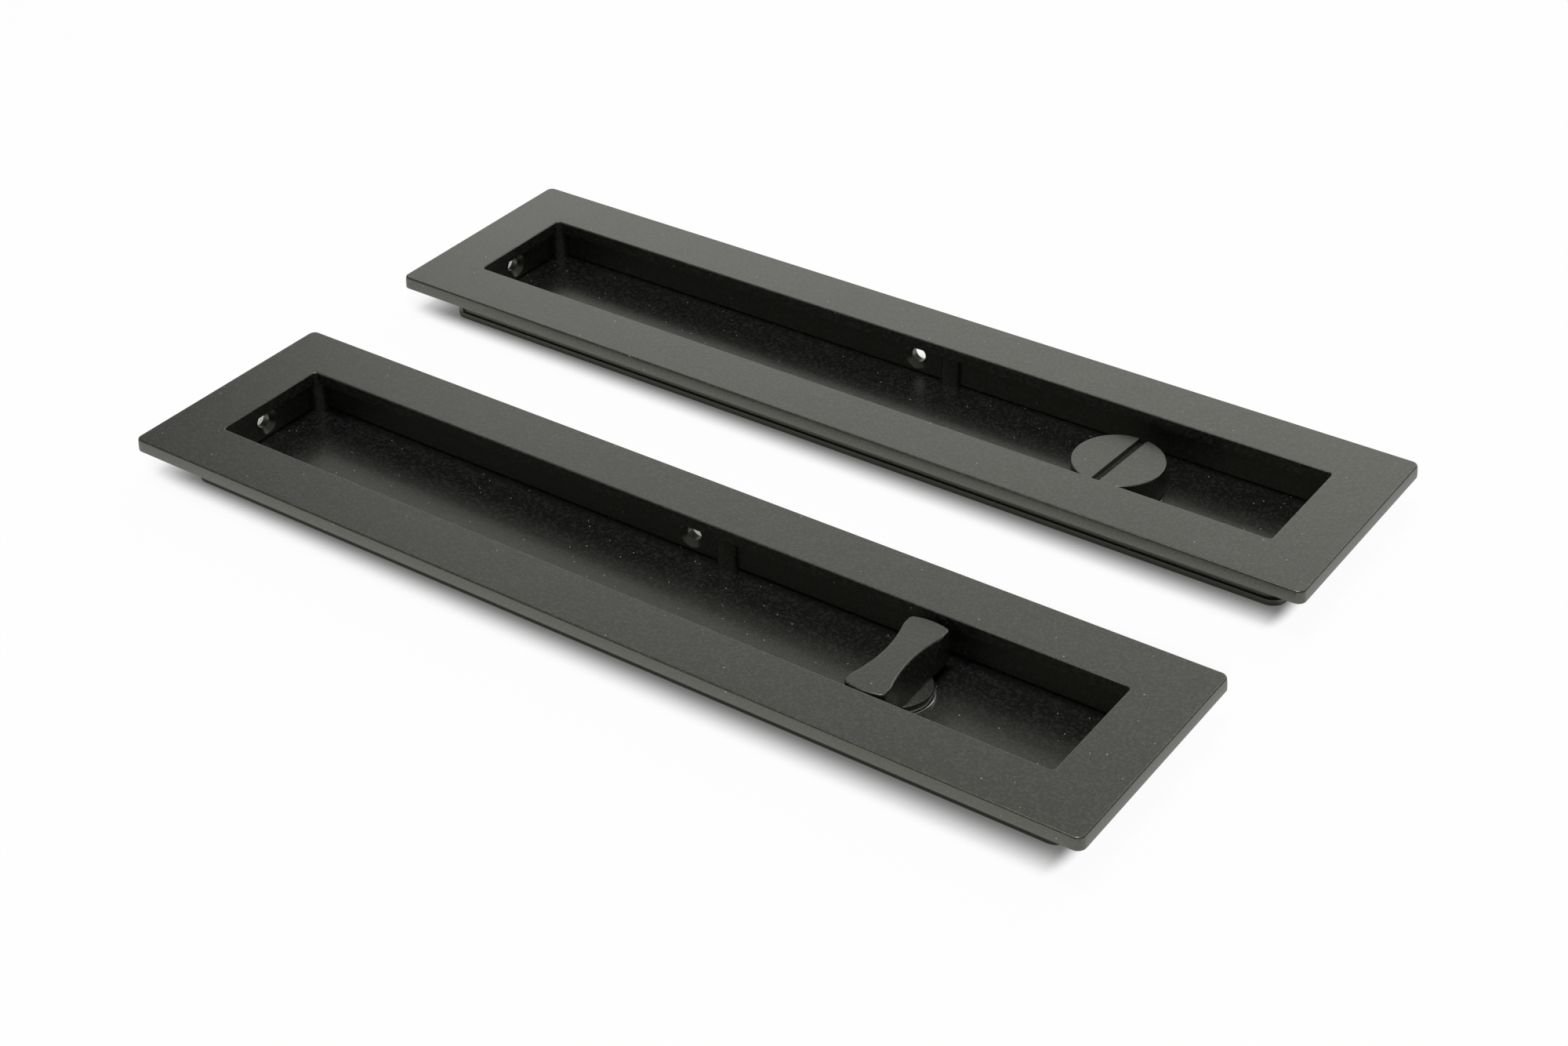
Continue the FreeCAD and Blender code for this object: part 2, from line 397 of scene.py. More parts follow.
def lathe(name, section, steps=96):
    """Turns a section that starts and ends on the axis. Its ends stay a hair off it, as real caps."""
    return loft(name, circles([(max(radius, hair), height) for radius, height in section], steps))


def prism(name, outline, bottom, top):
    """An upright block over a flat outline."""
    return loft(name, [level_loop(outline, height) for height in (bottom, top)])


def block(name, half_length, half_width, bottom, top):
    """An upright block over a rectangle about the origin."""
    outline = [(half_length, half_width), (-half_length, half_width),
               (-half_length, -half_width), (half_length, -half_width)]
    return prism(name, outline, bottom, top)


# %% [markdown]
# ## Cutting, shading and setting in place
# Posts are joined on, and holes and slots cut out, by booleans with the exact solver, which keeps
# flat faces flat. Rounded edges are part of the sections and of the cutters wherever they can be,
# because a bevel after many cuts shrinks to nothing at their shortest edges. Only the disc gets
# one, once its slot is cut. Then edges that turn by more than 35 degrees stay sharp, and weighted
# normals shade flat faces flat.

# %% Join, cut and shade
sharp_turn = math.radians(35)


def applied(piece):
    """Replaces a piece's mesh by what its modifiers make of it."""
    graph = bpy.context.evaluated_depsgraph_get()
    mesh = bpy.data.meshes.new_from_object(piece.evaluated_get(graph))
    old = piece.data
    piece.modifiers.clear()
    piece.data = mesh
    bpy.data.meshes.remove(old)
    return piece


def combine(piece, tools, operation):
    """Cuts tools out of a piece or joins them to it, then removes the tools."""
    for tool in tools:
        change = piece.modifiers.new("change", "BOOLEAN")
        change.operation = operation
        change.solver = "EXACT"
        change.object = tool
        applied(piece)
    for tool in tools:
        bpy.data.objects.remove(tool)
    return piece


def shaded(piece):
    """Shades the flats flat and the curves smooth, with crisp lines at the sharp edges."""
    for face in piece.data.polygons:
        face.use_smooth = True
    piece.data.set_sharp_from_angle(angle=sharp_turn)
    normals = piece.modifiers.new("normals", "WEIGHTED_NORMAL")
    normals.keep_sharp = True
    return applied(piece)


def bevelled(piece, width):
    """Rounds the sharp edges of a piece."""
    bevel = piece.modifiers.new("bevel", "BEVEL")
    bevel.width = width
    bevel.segments = 3
    bevel.limit_method = "ANGLE"
    bevel.angle_limit = sharp_turn
    return applied(piece)


print("edges stay sharp above degrees:", round(math.degrees(sharp_turn)))


# %% Turn, move and set in place
def turned(piece, turn):
    """Turns a piece's mesh about the origin, and leaves the object there."""
    piece.data.transform(turn)
    return piece


def moved(piece, place):
    """Moves a piece's mesh, and leaves the object at the origin."""
    piece.data.transform(Matrix.Translation(place))
    return piece


def set_in(piece, node, body, finish):
    """Lets a finer piece stand for a CAD node, on the same body, with the given finish, and hides the node.
    """
    piece.data.materials.clear()
    piece.data.materials.append(finish)
    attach(piece, body)
    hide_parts(node)
    print(piece.name, "stands for", node, "with", len(piece.data.polygons), "faces")


# %% [markdown]
# ## Measures from the frame
# The places come from the CAD nodes' boxes and from the joints. What a box can't say, such as the
# thickness of a wall, is a named value here.

# %% Measures
sides = {"turn": "thumbturn", "release": "coin_disc"}
joint_place = {joint["child"]: Vector(joint["pos_m"]) for joint in frame["joints"]}
housing_low, housing_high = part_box("turn_housing")
plate_low, plate_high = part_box("turn_back_plate")
pull_length = housing_high.x - housing_low.x
pull_width = housing_high.y - housing_low.y
face_height = housing_high.z
plate_thickness = plate_high.z - plate_low.z
plate_length = plate_high.x - plate_low.x
plate_width = plate_high.y - plate_low.y
plate_proud = 0.6 * mm
body_length = plate_length - 2 * plate_proud
body_width = plate_width - 2 * plate_proud
wall_thickness = 3.1 * mm
pocket_length = body_length - 2 * wall_thickness
pocket_width = body_width - 2 * wall_thickness
lip_reach = 2.45 * mm
opening_length = pocket_length - 2 * lip_reach
opening_width = pocket_width - 2 * lip_reach
flange_thickness = 3 * mm
flange_bottom = face_height - flange_thickness
middle = {side: (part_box(f"{side}_housing")[0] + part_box(f"{side}_housing")[1]) / 2 for side in sides}
for place in (*middle.values(), *joint_place.values()):
    place.z = 0
print("opening in mm:", round(opening_length / mm, 1), "by", round(opening_width / mm, 1))

# %% [markdown]
# ## The housing
# The real one is a casting: a flange with eased edges, a lip that overhangs the pocket for the
# fingertips, and four thin walls. It could be cut out of boxes, but then every edge would need a
# rounding of its own. Its section is the same all the way round, so it is one endless loft of
# rounded rectangles, from the flange's outer edge over the face, down through the opening, out
# under the lip, down the pocket wall, and back up the outside of the wall. The flange's side has
# a slight crown: it is upright at its foot and leans in a little at the top, so it mirrors the
# table low down and whatever stands beyond it higher up.

# %% Side and edges of the flange
flange_corner = 2.0 * mm
flange_edge = 0.45 * mm
side_lean = 9
side_steps = 6
side_rise = flange_thickness - flange_edge * (1 - math.sin(math.radians(side_lean)))
edge_steps = 6


def eased_loops(length, width, corner, radius, height, start, end, inward):
    """Loops that round a level edge: `inward` is -1 on an outer edge and 1 round an opening."""
    loops = []
    for reach, rise in arc((0, 0), radius, start, end, edge_steps):
        spread = inward * (radius - reach)
        loops.append(rounded_rectangle(length + 2 * spread, width + 2 * spread,
                                       corner + spread, height - radius + rise))
    return loops


def crown_inset(share):
    """How far the flange's side has come in at this share of its height."""
    return math.tan(math.radians(side_lean)) * side_rise * share * share / 2


def side_loops():
    """The crowned side of the flange, from its foot to the rounded edge."""
    loops = []
    for step in range(side_steps):
        inset = crown_inset(step / side_steps)
        loops.append(rounded_rectangle(pull_length - 2 * inset, pull_width - 2 * inset, flange_corner - inset,
                                       flange_bottom + side_rise * step / side_steps))
    return loops


print("the side leans in by mm:", round(crown_inset(1) / mm, 3))

# %% Section of the housing
opening_corner = 1.0 * mm
pocket_corner = 1.0 * mm
body_corner = 3.8 * mm
opening_edge = 0.35 * mm
seam_edge = 0.3 * mm


def housing_shell(name):
    """The casting's flange, lip and walls, before its posts and holes."""
    inset = crown_inset(1)
    loops = side_loops()
    loops += eased_loops(pull_length - 2 * inset, pull_width - 2 * inset, flange_corner - inset,
                         flange_edge, face_height, side_lean, 90, -1)
    loops += eased_loops(opening_length, opening_width, opening_corner, opening_edge, face_height, 90, 0, 1)
    seam_length = pocket_length + 2 * seam_edge
    seam_width = pocket_width + 2 * seam_edge
    for length, width, corner, height in (
            (opening_length, opening_width, opening_corner, flange_bottom),
            (pocket_length, pocket_width, pocket_corner, flange_bottom),
            (pocket_length, pocket_width, pocket_corner, plate_thickness + seam_edge),
            (seam_length, seam_width, pocket_corner + seam_edge, plate_thickness),
            (body_length, body_width, body_corner, plate_thickness),
            (body_length, body_width, body_corner, flange_bottom)):
        loops.append(rounded_rectangle(length, width, corner, height))
    return loft(name, loops, endless=True)


print("body under the flange in mm:", round(body_length / mm, 1), "by", round(body_width / mm, 1))

# %% [markdown]
# The half-round posts in the corners and beside the middle take the screws of the back plate.
# They are joined on, with their backs kept inside the wall. Then the four countersunk holes for
# the wood screws and the six tapped holes are cut. Each cutter is turned from the section of its
# hole, so that one cut makes the countersink and its rounded mouth as well.

# %% Posts and their tapped holes
post_radius = 2.85 * mm
post_back = 1.8 * mm
post_steps = 64
corner_post_inset = 0.65 * mm
wall_post_x = 10.2 * mm
head_inset = 0.35 * mm
buried = 0.15 * mm
screw_radius = 1.5 * mm
screw_length = 6 * mm
head_radius = 2.7 * mm
tapped_depth = screw_length + 0.6 * mm
corner_post = Vector((pocket_length / 2 - corner_post_inset, pocket_width / 2 - corner_post_inset, 0))
wall_post = Vector((wall_post_x, plate_width / 2 - head_inset - head_radius, 0))
post_places = [Vector((x * corner_post.x, y * corner_post.y, 0)) for x in (-1, 1) for y in (-1, 1)]
post_places += [wall_post, -wall_post]


def post(place):
    """One screw post, flattened where it would come through the outside of its wall."""
    x_limit = pocket_length / 2 + post_back
    y_limit = pocket_width / 2 + post_back
    outline = []
    for x, y in arc((place.x, place.y), post_radius, 0, 360, post_steps)[:-1]:
        outline.append((max(-x_limit, min(x_limit, x)), max(-y_limit, min(y_limit, y))))
    return prism("post", outline, plate_thickness, flange_bottom + buried)


def tapped_hole(place):
    """The hole in a post for a screw of the back plate."""
    section = [(0, 0), (screw_radius, 0), (screw_radius, tapped_depth), (0, tapped_depth)]
    return moved(lathe("tapped_hole", section, steps=32), place)


print("posts on each pull:", len(post_places))

# %% Countersunk fixing holes
fixing_height = (plate_thickness + flange_bottom) / 2
fixing_radius = 1.9 * mm
countersink_radius = 3.2 * mm
mouth_edge = 0.25 * mm
mouth_flare = 0.28 * mm
overcut = 0.05 * mm


def fixing_hole(outward, reach):
    """A countersunk hole through one wall, cut from inside the pocket, with a rounded mouth.

    The rounding's arc starts 10 degrees past the wall's own plane, so that the cut leaves no sliver.
    """
    cone = countersink_radius - fixing_radius
    mouth = countersink_radius + mouth_edge * (math.sqrt(2) - 1)
    section = [(0, -overcut), (mouth + mouth_flare, -overcut)]
    section += arc((mouth, mouth_edge), mouth_edge, -100, -135, 4)
    section += [(fixing_radius, cone), (fixing_radius, 2 * wall_thickness), (0, 2 * wall_thickness)]
    turn = outward.to_track_quat("Z", "Y").to_matrix().to_4x4()
    hole = turned(lathe("fixing_hole", section, steps=48), turn)
    return moved(hole, outward * reach + Vector((0, 0, fixing_height)))


def fixing_holes():
    """One hole in the middle of each wall."""
    ends = [fixing_hole(Vector((sign, 0, 0)), pocket_length / 2) for sign in (-1, 1)]
    walls = [fixing_hole(Vector((0, sign, 0)), pocket_width / 2) for sign in (-1, 1)]
    return ends + walls


print("fixing holes are at height in mm:", round(fixing_height / mm, 2))


# %% Both housings
def housing(side):
    """A whole casting, set in the place of its CAD node."""
    piece = housing_shell(f"{side}_housing_casting")
    combine(piece, [post(place) for place in post_places], "UNION")
    combine(piece, fixing_holes() + [tapped_hole(place) for place in post_places], "DIFFERENCE")
    shaded(piece)
    moved(piece, middle[side])
    set_in(piece, f"{side}_housing", "pulls", casting_paint)


for side in sides:
    housing(side)

# %% [markdown]
# ## The back plate and its screws
# The floor of the pocket is a separate sheet, a little larger than the walls, so its edge shows
# as a thin ledge outside and a dark line where it meets the walls inside. It is a loft of a few
# rounded rectangles, which round both its edges, and the seats of its screws and the hole for the
# bush are cut through it.

# %% Back plate
plate_edge = 0.2 * mm
plate_corner = 3.6 * mm
seat_gap = 0.08 * mm
seat_clearance = 0.1 * mm
bush_flange_reach = 1.35 * mm
bush_low, bush_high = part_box("turn_bush")
bush_flange_radius = (bush_high.x - bush_low.x) / 2
bush_body_radius = bush_flange_radius - bush_flange_reach
turn_offset = joint_place["thumbturn"] - middle["turn"]


def plate_loops():
    """The sheet's loops, from the table up: the upper half mirrors the lower one."""
    low = [rounded_rectangle(plate_length - 2 * plate_edge, plate_width - 2 * plate_edge,
                             plate_corner - plate_edge, 0)]
    for reach, rise in arc((0, 0), plate_edge, -60, 0, 2):
        inset = plate_edge - reach
        low.append(rounded_rectangle(plate_length - 2 * inset, plate_width - 2 * inset,
                                     plate_corner - inset, plate_edge + rise))
    high = [[Vector((p.x, p.y, plate_thickness - p.z)) for p in loop] for loop in reversed(low)]
    return low + high


def screw_seat(place):
    """The countersunk seat of a screw and the hole for its shank."""
    cone = head_radius - screw_radius
    hole = screw_radius + seat_clearance
    section = [(0, -seat_clearance), (head_radius + seat_gap + seat_clearance, -seat_clearance),
               (hole, cone + seat_gap - seat_clearance), (hole, 2 * plate_thickness),
               (0, 2 * plate_thickness)]
    return moved(lathe("screw_seat", section, steps=48), place)


def bush_hole():
    """The hole that the bush's body fills."""
    section = [(0, -mm), (bush_body_radius, -mm), (bush_body_radius, 2 * plate_thickness),
               (0, 2 * plate_thickness)]
    return moved(lathe("bush_hole", section), turn_offset)


def back_plate(side):
    """A whole sheet, set in the place of its CAD node."""
    piece = loft(f"{side}_back_plate_sheet", plate_loops())
    combine(piece, [bush_hole()] + [screw_seat(place) for place in post_places], "DIFFERENCE")
    shaded(piece)
    moved(piece, middle[side])
    set_in(piece, f"{side}_back_plate", "pulls", plate_paint)


for side in sides:
    back_plate(side)

# %% [markdown]
# Six countersunk screws hold each plate from behind. One screw is turned with its thread as plain
# ridges, because a true helix takes many times the faces and nobody sees it inside its hole. A
# tapered cross cuts its recess. Copies of it go to the six places, each at an angle of its own, as
# screws that are driven by hand are.

# %% One screw
cross_arm = 0.38 * mm
cross_levels = ((-0.1 * mm, 1.5 * mm), (1.1 * mm, 0.8 * mm))    # height and reach, mouth and bottom
thread_pitch = 0.5 * mm
thread_depth = 0.3 * mm
crest_share = 0.1
root_share = 0.6
screw_clearance = 0.05 * mm
head_start = 0.02 * mm
head_flat = head_radius - 0.12 * mm
head_rim = (head_radius - 0.03 * mm, 0.06 * mm)
thread_start = head_radius - screw_radius + 0.2 * mm
thread_end = screw_length - 0.3 * mm
tip_inset = 0.4 * mm


def cross_cutter():
    """A cross that narrows as it goes in, like the tip of a screwdriver."""
    arm = cross_arm
    loops = []
    for height, reach in cross_levels:
        outline = [(arm, arm), (arm, reach), (-arm, reach), (-arm, arm), (-reach, arm), (-reach, -arm),
                   (-arm, -arm), (-arm, -reach), (arm, -reach), (arm, -arm), (reach, -arm), (reach, arm)]
        loops.append(level_loop(outline, height))
    return loft("cross", loops)


def thread(bottom, top, radius):
    """The ridges of a screw thread, as a section that goes in and out."""
    points = []
    for turn in range(int((top - bottom) / thread_pitch)):
        height = bottom + turn * thread_pitch
        points += [(radius, height), (radius, height + crest_share * thread_pitch),
                   (radius - thread_depth, height + root_share * thread_pitch)]
    return points


def screw_blank():
    """One countersunk screw, made once and copied."""
    shank = screw_radius - screw_clearance
    section = [(0, head_start), (head_flat, head_start), head_rim, (shank, head_radius - shank)]
    section += thread(thread_start, thread_end, shank)
    section += [(shank - tip_inset, screw_length), (0, screw_length)]
    return combine(lathe("screw", section, steps=40), [cross_cutter()], "DIFFERENCE")


print("ridges on each screw:", int((thread_end - thread_start) / thread_pitch))

# %% Six screws for each plate
angle_between_screws = 0.9


def plate_screws(side):
    """All six screws as one piece, set in the place of their CAD node."""
    blank = screw_blank()
    shape = bmesh.new()
    for number, place in enumerate(post_places):
        copy = blank.data.copy()
        turn = Matrix.Rotation(number * angle_between_screws, 4, "Z")
        copy.transform(Matrix.Translation(place) @ turn)
        shape.from_mesh(copy)
        bpy.data.meshes.remove(copy)
    bpy.data.objects.remove(blank)
    piece = new_piece(f"{side}_plate_screws_threaded", shape)
    shaded(piece)
    moved(piece, middle[side])
    set_in(piece, f"{side}_plate_screws", "pulls", black_steel)


for side in sides:
    plate_screws(side)

# %% [markdown]
# ## The bush and the hidden washers
# The bush is a turned ring. Only the rim of its flange shows, as a thin silver line round the
# turning piece. Its bore goes right through, so it is an endless loft of circles and not a lathe,
# whose ends close on the axis. The washer, the spring and the snap ring have simple true shapes in
# the CAD model already, so they stay and only get their finishes.

# %% Bush
shank_radius = 9.01 / 2 * mm
running_gap = 0.05 * mm
ring_space_radius = 12.21 / 2 * mm
ring_space_top = 1.2 * mm
bush_edge = 0.12 * mm
bush_round_steps = 128


def bush(side, body):
    """A turned ring: flange above, body in the plate, and a space below for the snap ring."""
    top = bush_high.z
    bore = shank_radius + running_gap
    section = [(ring_space_radius, 0), (bush_body_radius, 0), (bush_body_radius, plate_thickness),
               (bush_flange_radius, plate_thickness)]
    section += arc((bush_flange_radius - bush_edge, top - bush_edge), bush_edge, 0, 90, 4)
    section += [(bore, top), (bore, ring_space_top), (ring_space_radius, ring_space_top)]
    piece = shaded(loft(f"{side}_bush_turned", circles(section, bush_round_steps), endless=True))
    moved(piece, joint_place[body])
    set_in(piece, f"{side}_bush", "pulls", bright_steel)


for side, body in sides.items():
    bush(side, body)


# %% Finishes of the hidden pieces that stay
def refinish(node, finish):
    """Gives a CAD node that stays a better material."""
    for material_slot in frame["nodes"][node].material_slots:
        material_slot.material = finish
    print(node, "keeps its shape and gets", finish.name)


for side in sides:
    refinish(f"{side}_glide_washer", white_plastic)
    refinish(f"{side}_spring_washer", spring_steel)
    refinish(f"{side}_snap_ring", spring_steel)

# %% [markdown]
# ## The thumbturn
# It is a bar with round ends and a scoop in each side for the fingertips. Each scoop leans, so the
# bar is narrow at the top and has its full width at the collar. Two leaning cylinders could be cut
# out of a block, but the cut would leave a hard edge. Level slices say it better: every slice is
# the same outline with its sides pushed in less and less towards the bottom, and the top edge is a
# roll of slices that draw inwards.

# %% Plan of the bar
bar_half_width = 4.85 * mm
bar_end_gap = 1.45 * mm
bar_end_radius = opening_width / 2 - bar_end_gap
bar_corner = 1.2 * mm
bar_side_steps = 36
bar_corner_steps = 10
bar_end_steps = 14


def bar_quarter():
    """A quarter of the bar's plan: from the middle of a side, round the corner, to an end."""
    centre_x = bar_half_width - bar_corner
    centre_y = math.sqrt((bar_end_radius - bar_corner) ** 2 - centre_x ** 2)
    end_angle = math.degrees(math.atan2(centre_y, centre_x))
    side_points = [(bar_half_width, centre_y * step / bar_side_steps) for step in range(bar_side_steps)]
    corner = arc((centre_x, centre_y), bar_corner, 0, end_angle, bar_corner_steps)
    end = arc((0, 0), bar_end_radius, end_angle, 90, bar_end_steps)[1:]
    return side_points + corner + end


def bar_outline():
    """The whole plan, anticlockwise, from the right side's middle."""
    quarter = bar_quarter()
    right_back = quarter[:-1]
    left_back = [(-x, y) for x, y in reversed(quarter)][:-1]
    left_front = [(-x, -y) for x, y in quarter][:-1]
    right_front = [(x, -y) for x, y in reversed(quarter)][:-1]
    return right_back + left_back + left_front + right_front


print("points round the bar:", len(bar_outline()))

# %% Scoops in the sides
thumbturn_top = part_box("turn_thumbturn")[1].z
collar_top = 3.9 * mm
scoop_radius = 33 * mm
scoop_depth = 1.55 * mm
scoop_blend = 0.12 * mm


def softer_least(first, second, blend):
    """The smaller of two lengths, with a soft change from one to the other."""
    gap = max(blend - abs(first - second), 0) / blend
    return min(first, second) - gap * gap * blend / 4


def scooped(outline, height):
    """Pushes the sides of the outline in as far as the scoops reach at this height."""
    share = min(max((height - collar_top) / (thumbturn_top - collar_top), 0), 1)
    waist = bar_half_width - scoop_depth * share
    points = []
    for x, y in outline:
        scoop = waist + scoop_radius - math.sqrt(scoop_radius ** 2 - y * y)
        points.append((math.copysign(softer_least(abs(x), scoop, scoop_blend), x), y))
    return points


def drawn_in(points, distance):
    """Moves every point of an outline inwards along its own normal."""
    inner = []
    for i, (x, y) in enumerate(points):
        before = Vector(points[i - 1])
        after = Vector(points[(i + 1) % len(points)])
        along = (after - before).normalized()
        inner.append((x - along.y * distance, y + along.x * distance))
    return inner


print("waist of the bar at its top in mm:", round(2 * (bar_half_width - scoop_depth) / mm, 2))

# %% Slices of the bar
bar_roll = 0.45 * mm
bar_foot = 0.2 * mm
slice_steps = 24
roll_steps = 7
foot_steps = 4


def bar():
    """The bar without its collar: a rounded foot, leaning slices and a rolled top edge."""
    outline = bar_outline()
    foot_top = collar_top - buried + bar_foot
    roll_start = thumbturn_top - bar_roll
    loops = []
    for reach, rise in arc((0, 0), bar_foot, -90, 0, foot_steps)[:-1]:
        height = foot_top + rise
        loops.append(level_loop(drawn_in(scooped(outline, height), bar_foot - reach), height))
    for step in range(slice_steps + 1):
        height = foot_top + (roll_start - foot_top) * step / slice_steps
        loops.append(level_loop(scooped(outline, height), height))
    for reach, rise in arc((0, 0), bar_roll, 0, 90, roll_steps)[1:]:
        height = roll_start + rise
        loops.append(level_loop(drawn_in(scooped(outline, height), bar_roll - reach), height))
    return loft("bar", loops)


print("slices in the bar:", foot_steps + slice_steps + 1 + roll_steps)

# %% Shank and spindle socket, the same on both turning pieces
collar_bottom = 2.45 * mm
shank_bottom = 0.1 * mm
shank_edge = 0.1 * mm
groove_depth = 0.5 * mm
groove_bottom = 0.4 * mm
groove_top = mm
socket_width = 5.1 * mm


def shank_section():
    """The shank under a turning piece, with the groove that the snap ring sits in."""
    groove = shank_radius - groove_depth
    return [(0, shank_bottom), (shank_radius - shank_edge, shank_bottom),
            (shank_radius, shank_bottom + shank_edge), (shank_radius, groove_bottom),
            (groove, groove_bottom), (groove, groove_top), (shank_radius, groove_top),
            (shank_radius, collar_bottom)]


def socket_cutter(top):
    """The square hole for the spindle."""
    return block("socket", socket_width / 2, socket_width / 2, 0, top)


print("shank below the collar in mm:", round((collar_bottom - shank_bottom) / mm, 2))

# %% Thumbturn
collar_radius = 15.21 / 2 * mm
collar_edge = 0.15 * mm
bar_over_socket = 3.5 * mm
thumbturn_turn = math.radians(1.1)


def thumbturn():
    """Shank, collar and bar in one, set in the place of the CAD node."""
    edge = collar_edge
    section = shank_section() + [(collar_radius - edge, collar_bottom), (collar_radius, collar_bottom + edge)]
    section += arc((collar_radius - edge, collar_top - edge), edge, 0, 90, 4)
    section.append((0, collar_top))
    piece = lathe("turn_thumbturn_bow_tie", section, steps=128)
    combine(piece, [bar()], "UNION")
    combine(piece, [socket_cutter(thumbturn_top - bar_over_socket)], "DIFFERENCE")
    shaded(piece)
    turned(piece, Matrix.Rotation(thumbturn_turn, 4, "Z"))
    moved(piece, joint_place["thumbturn"])
    set_in(piece, "turn_thumbturn", "thumbturn", turn_paint)


thumbturn()

# %% [markdown]
# ## The coin release
# A plain turned disc with a slot from rim to rim, wide enough for a coin. It is hollow underneath
# so that it covers the bush, and a lathe makes disc, hollow and shank from one section. Its top
# edge is rounded in that section. The slot's edges come from a cut, so they get a narrow bevel,
# about as wide as the paint is thick.

# %% Coin disc
disc_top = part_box("release_coin_disc")[1].z
disc_radius = 11 * mm
gap_under_disc = 0.3 * mm
disc_bottom = plate_thickness + gap_under_disc
disc_top_edge = 0.35 * mm
disc_bottom_edge = 0.15 * mm
gap_round_bush = 0.45 * mm
hollow_radius = bush_flange_radius + gap_round_bush
slot_width = 2.05 * mm
slot_depth = 1.5 * mm
slot_reach = 1.2 * disc_radius
slot_bevel = 0.12 * mm
slot_over_socket = 2 * mm
slot_angle = math.radians(-3.5)


def slot_cutter():
    """A bar that reaches past the rim on both sides."""
    return block("slot", slot_width / 2, slot_reach, disc_top - slot_depth, disc_top + mm)


def coin_disc():
    """Shank and disc in one, set in the place of the CAD node."""
    low_edge = disc_bottom_edge
    edge = disc_top_edge
    section = shank_section() + [(hollow_radius, collar_bottom), (hollow_radius, disc_bottom)]
    section += arc((disc_radius - low_edge, disc_bottom + low_edge), low_edge, -90, 0, 3)
    section += arc((disc_radius - edge, disc_top - edge), edge, 0, 90, edge_steps)
    section.append((0, disc_top))
    piece = lathe("release_coin_disc_slotted", section, steps=160)
    socket_top = disc_top - slot_depth - slot_over_socket
    combine(piece, [slot_cutter(), socket_cutter(socket_top)], "DIFFERENCE")
    shaded(bevelled(piece, slot_bevel))
    turned(piece, Matrix.Rotation(slot_angle, 4, "Z"))
    moved(piece, joint_place["coin_disc"])
    set_in(piece, "release_coin_disc", "coin_disc", turn_paint)


coin_disc()

# %% [markdown]
# ## Table and light
# The photograph has a white table with a soft shadow close round each pull. The table's white is
# its own colour, with a little added for camera and mirror rays only, so it looks white without
# more light on the pulls. That added glow dims beside each pull, which paints the shadow on the
# table and in its reflections: the painted shadow grows a little wider to the right, and it is
# deepest at the left ends and behind the front pull, where the flange would keep the light out.
# An even pale room lights everything softly. A long low lamp at the back gives the faces their
# grey, and a smaller and higher one brightens them towards the right. One overhead brings the light
# to a plain level and draws the thin line along the near edges.

# %% Painted shade on the table
# These numbers set how the table's glow dims near the pulls, which paints their shadow.
painted_shade_reach = 8.8 * mm
painted_shade_growth = 0.015
painted_shade_sheltered = 0.35
painted_shade_open_end = 2.5


def outside(recipe, past_one, past_other):
    """How far a point lies past either of two opposite edges, or 0 between them."""
    return recipe.maths("MAXIMUM", recipe.maths("MAXIMUM", past_one, past_other), 0.0)


def from_pulls(recipe):
    """How far a point of the table is from the nearer pull, and how far the painted shadow reaches there.

    The distance counts less at the left ends and behind the front pull, which deepens the painted
    shadow there, and more past the right ends, which keeps it narrow where the ends face open light.
    """
    along = recipe.add("ShaderNodeSeparateXYZ", sockets={"Vector": place_on(recipe)})
    past_left = (-body_length / 2 - along) * painted_shade_sheltered
    past_right = (along - body_length / 2) * painted_shade_open_end
    past_end = outside(recipe, past_right, past_left)
    distances = []
    for side, back_share in (("turn", painted_shade_sheltered), ("release", 1.0)):
        from_axis = along.beside("Y") - middle[side].y
        past_back = (from_axis - body_width / 2) * back_share
        past_side = outside(recipe, -body_width / 2 - from_axis, past_back)
        distances.append(recipe.maths("SQRT", past_end * past_end + past_side * past_side))
    return recipe.maths("MINIMUM", *distances), painted_shade_reach + along * painted_shade_growth


print("the shade reaches mm:", round(painted_shade_reach / mm, 1))

# %% Table
glow_in_painted_shadow = 0.08
glow_far = 0.96
table_cloud = 80 * mm
half_table = 6.0
table_depth = 2 * mm


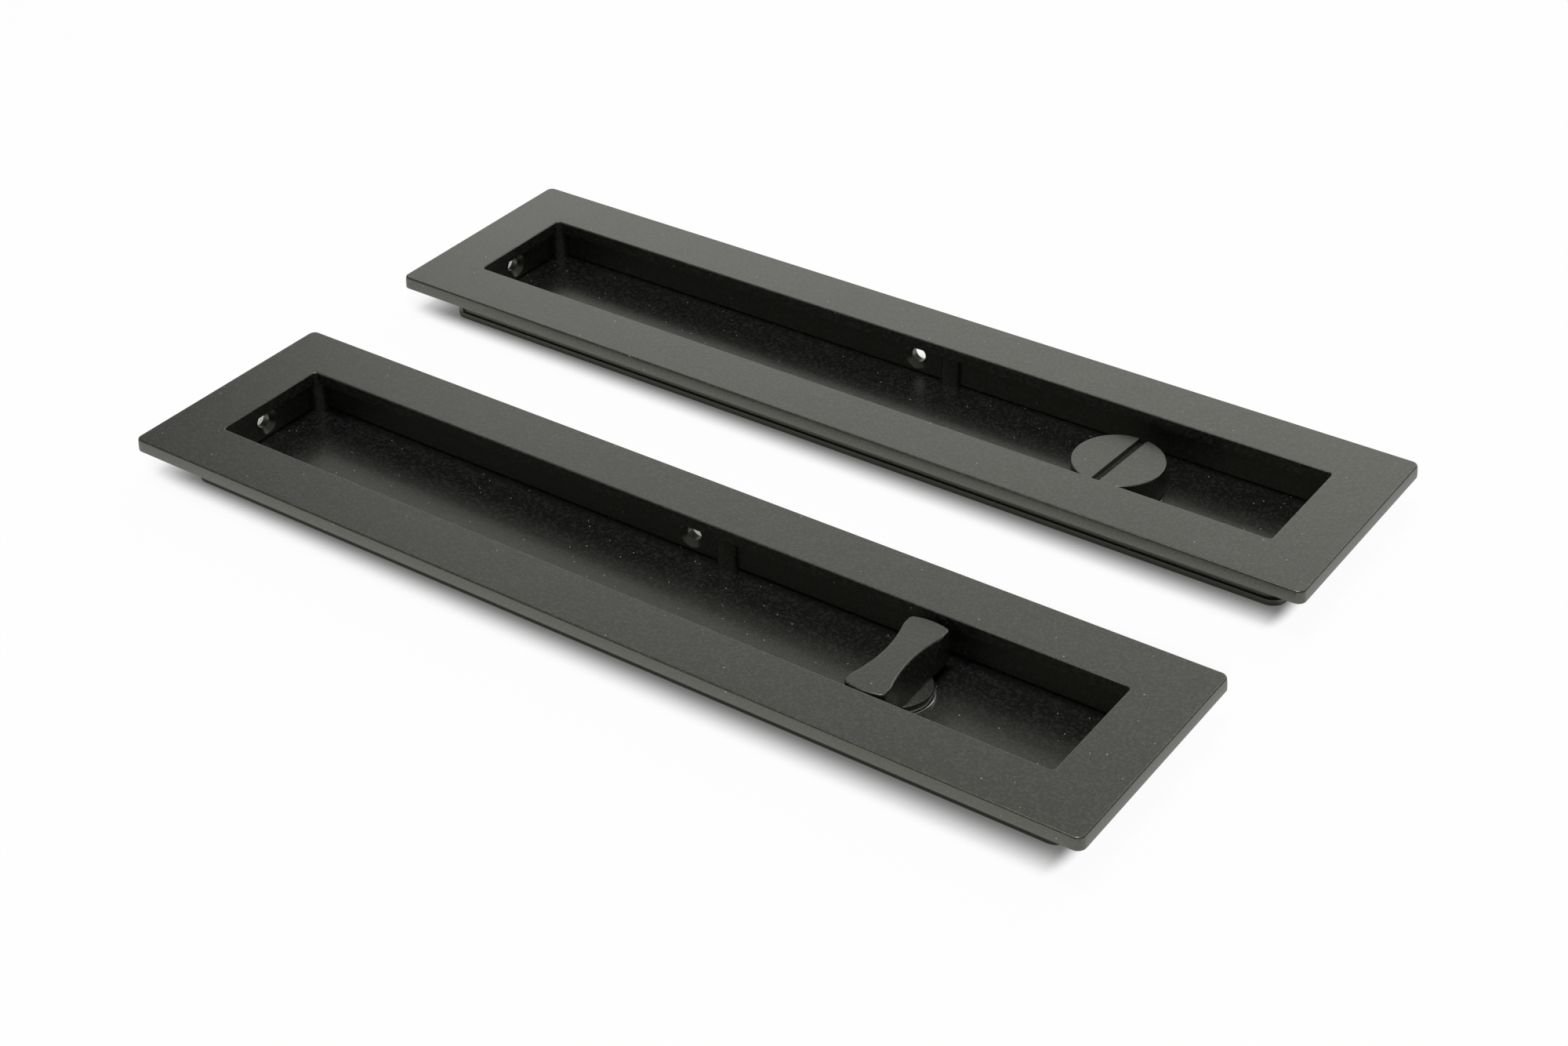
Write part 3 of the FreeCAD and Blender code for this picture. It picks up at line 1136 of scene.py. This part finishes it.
def table_paint():
    """Matt white, with a glow that only the camera and reflections see, dimmed beside each pull as a painted
    shadow.
    """
    white = new_recipe("white_table_painted_shadow")
    colour = drift(white, noise(white, table_cloud), grey(0.9), grey(0.92))
    matt = white.add("ShaderNodeBsdfDiffuse", sockets={"Color": colour})
    glow = white.add("ShaderNodeEmission", sockets={"Color": grey(1.0), "Strength": 1.0})
    kinds = ("Camera", "Glossy", "Transmission")
    rays = [white.add("ShaderNodeLightPath", output=f"Is {kind} Ray") for kind in kinds]
    distance, reach = from_pulls(white)
    # The glow dims beside each pull: a painted shadow, seen by the camera and in reflections.
    painted_shadow_fade = {"Value": distance, "From Max": reach, "To Min": glow_in_painted_shadow, "To Max": glow_far}
    glow_with_painted_shadow = white.add("ShaderNodeMapRange", {"interpolation_type": "SMOOTHSTEP"}, painted_shadow_fade)
    share = (rays[0] + rays[1] + rays[2]) * glow_with_painted_shadow
    return white.finish(white.add("ShaderNodeMixShader", sockets={0: share, 1: matt, 2: glow}))


table = block("table", half_table, half_table, -table_depth, 0)
table.data.materials.append(table_paint())
print("the table reaches metres:", half_table, "each way")


# %% Room and lamps
def pale_room(level):
    """An even pale room all round."""
    room = Recipe(bpy.data.worlds.new("pale_room"))
    light = room.add("ShaderNodeBackground", sockets={"Color": grey(1.0), "Strength": level})
    bpy.context.scene.world = room.finish(light, "ShaderNodeOutputWorld")


def soft_lamp(name, place, size, watts):
    """A large flat lamp that looks at the middle of the set."""
    light = bpy.data.lights.new(name, "AREA")
    light.shape = "RECTANGLE"
    light.size, light.size_y = size
    light.energy = watts
    lamp = bpy.data.objects.new(name, light)
    lamp.location = place
    lamp.rotation_euler = (-place).to_track_quat("-Z", "Y").to_euler()
    bpy.context.scene.collection.objects.link(lamp)
    print(name, "at metres", [round(c, 2) for c in place], "watts", watts)


pale_room(level=0.26)
soft_lamp("back_lamp", Vector((-0.3, 1.0, 0.42)), size=(1.5, 0.6), watts=3.0)
soft_lamp("window_lamp", Vector((0.25, 0.95, 0.95)), size=(0.5, 0.5), watts=1.6)
soft_lamp("overhead_lamp", Vector((0.05, -0.15, 1.05)), size=(0.3, 0.3), watts=5.5)
bpy.context.scene.view_settings.view_transform = "Standard"
